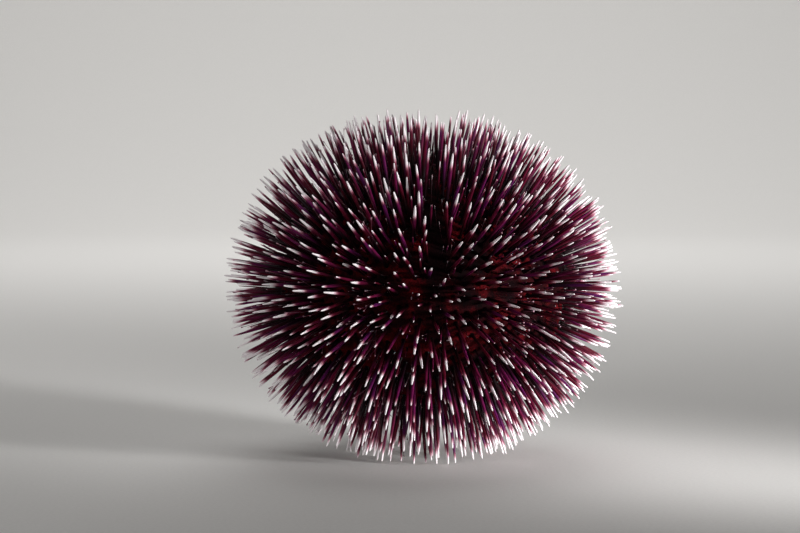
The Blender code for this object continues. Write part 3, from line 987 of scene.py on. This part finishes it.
def soft_flesh(name, stops, roughness):
    look, tree, shader = new_look(name)
    along = (add(tree, "ShaderNodeAttribute", attribute_name="along"), "Fac")
    place = (add(tree, "ShaderNodeTexCoord"), "Object")
    mottle = add(tree, "ShaderNodeTexNoise", {"Vector": place, "Scale": 1 / MOTTLE})
    shift = add(tree, "ShaderNodeMath", {0: mottle, 1: 0.12, 2: -0.06}, operation="MULTIPLY_ADD")
    height = add(tree, "ShaderNodeMath", {0: along, 1: shift}, operation="ADD")
    body = add(tree, "ShaderNodeValToRGB", {"Fac": height}, stops=stops)
    raised = {"Height": mottle, "Strength": 0.3, "Distance": 0.05 * MM}
    bump = add(tree, "ShaderNodeBump", raised)
    tree.links.new(body.outputs["Color"], shader.inputs["Base Color"])
    tree.links.new(bump.outputs["Normal"], shader.inputs["Normal"])
    shader.inputs["Roughness"].default_value = roughness
    shader.inputs["Subsurface Weight"].default_value = 0.25
    shader.inputs["Subsurface Radius"].default_value = (1.0, 0.4, 0.4)
    shader.inputs["Subsurface Scale"].default_value = GLOW_DEPTH
    return look


podium = soft_flesh(
    "clear_wine_podium",
    [(0.0, "#1c060e"), (0.5, "#4a1a2c"), (0.9, "#6e3c4c"), (0.96, "#96707c")],
    0.3,
)
pincer = soft_flesh(
    "pale_pincer_flesh",
    [(0.0, "#24080f"), (0.5, "#4c2e38"), (0.82, "#6a525c"), (0.9, "#96868c")],
    0.35,
)
print("flesh nodes:", len(podium.node_tree.nodes))

# %% [markdown]
# ## Tube feet and pincers
#
# Tube feet come out of pairs of pores along both sides of each ambulacrum, and many of
# them are stretched out between the spines, ending in a little cupped sucker. Pincers
# stand anywhere on the skin. Both bend in the water, so each gets a sideways sway as well
# as a direction. They come from the same tree as the spines, with profiles of their own.

# %% Feet and pincers, scattered and grown
FEET_IN_COLUMN = 110
PINCERS_IN_COLUMN = {"ambulacrum": 50, "interambulacrum": 76}
PORE_FROM_EDGE = 2.1 * MM
SOFT_CLEARANCE = 1.0 * MM
FOOT_PROFILE = (
    (0.0, 0.0),
    (0.0, 0.45),
    (0.2, 0.36),
    (0.4, 0.33),
    (0.6, 0.32),
    (0.78, 0.32),
    (0.94, 0.36),
    (0.965, 0.85),
    (0.99, 1.0),
    (0.985, 0.0),
)
PINCER_PROFILE = (
    (0.0, 0.0),
    (0.0, 0.5),
    (0.15, 0.3),
    (0.4, 0.26),
    (0.7, 0.26),
    (0.84, 0.3),
    (0.88, 0.62),
    (0.94, 1.0),
    (0.985, 0.7),
    (1.0, 0.0),
)


def soft_rod(kind, number, angle_from_middle, shares, sway):
    """A soft foot or pincer at a random height on its column."""
    arc = 0.0
    while arc == 0.0 or dice.random() > math.cos(turn_at(arc)):
        arc = dice.uniform(EDGE, ARC - EDGE)
    turn = turn_at(arc)
    longitude = middle_of(kind, number) + angle_from_middle(TEST_RADIUS * math.cos(turn))
    root = surface(turn, longitude)
    way = leaning(turn, longitude, 0.16)
    bend = dice.normal(0.0, sway, 3)
    return {
        "root": root,
        "way": way,
        "share": above_floor(root, way, dice.uniform(*shares), SOFT_CLEARANCE),
        "girth": dice.uniform(0.8, 1.2),
        "sway": (bend[0], bend[1], abs(bend[2])),
        "map_place": (longitude / math.tau % 1.0, 0.02 + 0.93 * arc / ARC, 0.0),
    }


def at_pores(half, side):
    return lambda radius: side * (half - (PORE_FROM_EDGE + stray(0.7 * MM)) / radius)


def anywhere(half):
    return lambda radius: stray(half)


feet = []
pincers = []
for kind, number in columns:
    half = HALF_WIDTH[kind]
    for step in range(FEET_IN_COLUMN if kind == "ambulacrum" else 0):
        place = at_pores(half, 1 - 2 * (step % 2))
        feet.append(soft_rod(kind, number, place, (0.4, 0.95), 1.3 * MM))
    for step in range(PINCERS_IN_COLUMN[kind]):
        pincers.append(soft_rod(kind, number, anywhere(half), (0.25, 0.62), 0.7 * MM))

foot_tree = rod_tree("tube foot", FOOT_PROFILE, podium)
pincer_tree = rod_tree("pincer", PINCER_PROFILE, pincer)
sizes = {"Radius": 0.26 * MM, "Sides": 6, "Patch length": 0.012}
piece = grow("tube_feet", foot_tree, feet, **sizes)
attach(piece, "root")
print("tube feet:", len(feet), "faces:", len(piece.data.polygons))
sizes = {"Radius": 0.17 * MM, "Sides": 9, "Lobes": 0.35, "Patch length": 0.012}
piece = grow("pincers", pincer_tree, pincers, **sizes)
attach(piece, "root")
print("pincers:", len(pincers), "faces:", len(piece.data.polygons))

# %% [markdown]
# ## The mouth
#
# Underneath, a soft membrane joins the edge of the test to a thick ring of lips. Its
# outline is a short list of points, rounded by cutting corners a few times, as a
# carpenter would. It is then turned round the axis, and pressed into fine folds that run
# from the lips to the edge, with a frill on the lips.

# %% The membrane and the lips
MEMBRANE_RECESS = 0.6 * MM
LIP_RADIUS = 5.6 * MM
LIP_DROP = 1.2 * MM
TEETH_RADIUS = 4.1 * MM
POCKET_DEPTH = 2.6 * MM
MEMBRANE_HEIGHT = surface(LOW_TURN, 0.0)[2] + MEMBRANE_RECESS
LIP_HEIGHT = MEMBRANE_HEIGHT - LIP_DROP
POCKET_HEIGHT = LIP_HEIGHT + POCKET_DEPTH
MOUTH_ACROSS = 180
FOLDS, FRILLS = 45, 25
FOLD_DEPTH, FRILL_DEPTH = 0.10 * MM, 0.22 * MM


def rounded(points, rounds):
    """An open outline with its corners cut again and again. Its ends stay."""
    points = np.asarray(points, dtype=float)
    for _ in range(rounds):
        before, after = points[:-1], points[1:]
        cut = np.stack([before * 0.75 + after * 0.25, before * 0.25 + after * 0.75], axis=1)
        points = np.concatenate([points[:1], cut.reshape(-1, points.shape[1]), points[-1:]])
    return points


rim_radius = PERISTOME_RADIUS - GAP
pocket_radius = TEETH_RADIUS + GAP
outline = rounded(
    [
        (0.2 * MM, POCKET_HEIGHT),
        (pocket_radius, POCKET_HEIGHT),
        (pocket_radius, LIP_HEIGHT - 0.2 * MM),
        (LIP_RADIUS, LIP_HEIGHT - 0.1 * MM),
        (LIP_RADIUS + 1.0 * MM, LIP_HEIGHT + 0.9 * MM),
        (rim_radius - 2 * MM, MEMBRANE_HEIGHT + 0.1 * MM),
        (rim_radius, MEMBRANE_HEIGHT),
        (rim_radius, mouth_plug - GAP),
    ],
    4,
)
outline_radius, outline_height = outline[:, :1], outline[:, 1:]
angles = np.linspace(0.0, math.tau, MOUTH_ACROSS, endpoint=False)[None, :]
on_membrane = np.clip((outline_radius - LIP_RADIUS) / (2 * MM), 0, 1)
on_membrane = on_membrane * np.clip((rim_radius - outline_radius) / MM, 0, 1)
on_lip = np.exp(-(((outline_radius - LIP_RADIUS) / (0.7 * MM)) ** 2))
on_lip = on_lip * (outline_height < MEMBRANE_HEIGHT)
folds = on_membrane * FOLD_DEPTH * np.sin(FOLDS * angles + 2.0 * np.sin(3 * angles))
frill = on_lip * FRILL_DEPTH * np.sin(FRILLS * angles)
rings = around(outline_radius + frill, angles, outline_height - folds - frill)
membrane_look = living_skin(
    "mouth_membrane_skin", ("#3a0f18", "#6a2630", "#8f4a4c"), "#22060c", 0.4
)
mouth_ends = ((0, 0, POCKET_HEIGHT), (0, 0, mouth_plug - GAP))
mouth = closed_rings("mouth_membrane", rings, *mouth_ends, membrane_look)
# painted shade: the valleys of the folds and the pocket above the lips are darkened
fold_shade = np.clip(0.5 - folds / FOLD_DEPTH / 2, 0, 1) * on_membrane * 0.7
pocket_shade = np.clip((outline_height - LIP_HEIGHT) / MM, 0, 1) * (outline_radius < LIP_RADIUS)
shaded = np.clip(fold_shade + pocket_shade, 0, 1).ravel()
paint(mouth.data, "painted_shade_and_band_pigment", np.concatenate([shaded, [1.0, 1.0]]))
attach(mouth, "root")
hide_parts("peristome")
print("mouth faces:", len(mouth.data.polygons), "lips above the floor, mm:", round(LIP_HEIGHT / MM, 1))

# %% [markdown]
# ## Feet and gills round the mouth
#
# Ten stout tube feet with broad suckers, the buccal feet, stand in pairs on the membrane
# and taste what the urchin eats. At its edge, where the test is notched, ten small gills
# branch like bushes. A gill is a dozen short fingers that fan out from one point, so
# the same tree grows the feet and the fingers.

# %% Buccal feet and gills
BUCCAL_RING, BUCCAL_PAIR = 8.0 * MM, math.radians(9)
BUCCAL_SPLAY = 0.35
BUCCAL_LENGTH, BUCCAL_RADIUS = 2.6 * MM, 0.75 * MM
GILL_RING, GILL_PAIR = 11.0 * MM, math.radians(22)
GILL_FINGERS = 14
GILL_LENGTH, GILL_RADIUS = 2.3 * MM, 0.3 * MM
MOUTH_MAP_WIDTH = 26 * MM
FINGER_PROFILE = ((0.0, 0.0), (0.0, 0.7), (0.4, 0.8), (0.8, 1.0), (0.95, 0.75), (1.0, 0.0))
BUCCAL_PROFILE = (
    (0.0, 0.0),
    (0.0, 0.75),
    (0.3, 0.62),
    (0.75, 0.55),
    (0.88, 0.9),
    (0.95, 1.0),
    (1.0, 0.85),
    (0.94, 0.0),
)


def mouth_rod(ring, longitude, way, share):
    root = around(ring, longitude, MEMBRANE_HEIGHT)
    return {
        "root": root,
        "way": way,
        "share": share,
        "girth": dice.uniform(0.85, 1.15),
        "map_place": (*(0.5 + root[:2] / MOUTH_MAP_WIDTH), 0.0),
    }


buccal, fingers = [], []
for number in range(2 * COUNT):
    side = 2 * (number % 2) - 1
    pair = middle_of("ambulacrum", number // 2)
    longitude = pair + side * BUCCAL_PAIR
    way = around(BUCCAL_SPLAY, longitude, -1.0)
    buccal.append(mouth_rod(BUCCAL_RING, longitude, way, dice.uniform(0.85, 1.1)))
    for _ in range(GILL_FINGERS):
        way = around(0.25, pair, -0.8) + dice.normal(0.0, 0.35, 3)
        fingers.append(mouth_rod(GILL_RING, pair + side * GILL_PAIR, way, dice.uniform(0.5, 1.0)))

foot_sizes = {"Length": BUCCAL_LENGTH, "Radius": BUCCAL_RADIUS, "Sides": 12}
finger_sizes = {"Length": GILL_LENGTH, "Radius": GILL_RADIUS, "Sides": 6}
for name, profile, roots, sizes in (
    ("buccal_feet", BUCCAL_PROFILE, buccal, foot_sizes),
    ("gills", FINGER_PROFILE, fingers, finger_sizes),
):
    piece = grow(name, rod_tree(name, profile, podium), roots, **sizes)
    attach(piece, "root")
    print(name, "rods:", len(roots), "faces:", len(piece.data.polygons))

# %% [markdown]
# ## The teeth
#
# Five white teeth close to a point, like the jaws of a drill chuck. They are calcite,
# hard, slightly translucent, and worn at the edge. Each is a blade with a flat outer
# face and a keel inside, lofted through a few sections that narrow towards the tip.

# %% Worn calcite: enamel white, a little yellow in its growth lines
# The wave repeats every tau / 20 / LINE_SCALE metres, so the lines are 1.6 mm apart.
LINE_SCALE = 200.0
enamel, tree, shader = new_look("tooth_calcite")
place = (add(tree, "ShaderNodeTexCoord"), "Object")
scale = {"Vector": place, "Scale": LINE_SCALE, "Distortion": 1.5, "Detail": 2.0}
lines = add(tree, "ShaderNodeTexWave", scale, bands_direction="Z")
stops = [(0.0, "#e9dfc8"), (0.6, "#f6f1e4"), (1.0, "#fffdf6")]
ivory = add(tree, "ShaderNodeValToRGB", {"Fac": lines}, stops=stops)
bump = add(tree, "ShaderNodeBump", {"Height": lines, "Strength": 0.3, "Distance": 0.03 * MM})
tree.links.new(ivory.outputs["Color"], shader.inputs["Base Color"])
tree.links.new(bump.outputs["Normal"], shader.inputs["Normal"])
shader.inputs["Roughness"].default_value = 0.25
print("enamel nodes:", len(tree.nodes))

# %% Five blades that close to a point
TEETH_EDGE_RADIUS = 0.9 * MM
TEETH_DROP = 3.6 * MM
TOOTH_ROWS = 18
TOOTH_HALF_ANGLE = math.pi / COUNT - math.radians(5)
KEEL = 0.45
OUTER_FACE = [(-1, 0.7), (-1, 1), (0, 1.04), (1, 1), (1, 0.7)]
KEEL_FACE = [(0.25, 0.5), (0, KEEL), (-0.25, 0.5), (-1, 0.7)]
SECTION = rounded(OUTER_FACE + KEEL_FACE, 2)[:-1]
levels = np.linspace(0.0, 1.0, TOOTH_ROWS)[:, None]
heights = LIP_HEIGHT - TEETH_DROP + levels * (POCKET_HEIGHT - GAP - LIP_HEIGHT + TEETH_DROP)
cone_levels = (LIP_HEIGHT - TEETH_DROP, LIP_HEIGHT - LIP_DROP / 2, POCKET_HEIGHT)
cone = np.interp(heights, cone_levels, (TEETH_EDGE_RADIUS, TEETH_RADIUS, TEETH_RADIUS))
for number in range(COUNT):
    spread = TOOTH_HALF_ANGLE * SECTION[::-1, 0][None, :]
    blade = around(
        cone * SECTION[::-1, 1][None, :], middle_of("interambulacrum", number) - spread, heights
    )
    ends = [tuple(blade[row].mean(axis=0)) for row in (0, -1)]
    tooth = closed_rings(f"tooth_{number + 1}_blade", blade, *ends, enamel)
    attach(tooth, "root")
    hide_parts(f"tooth_{number + 1}")
print("teeth:", COUNT, "faces each:", len(tooth.data.polygons))
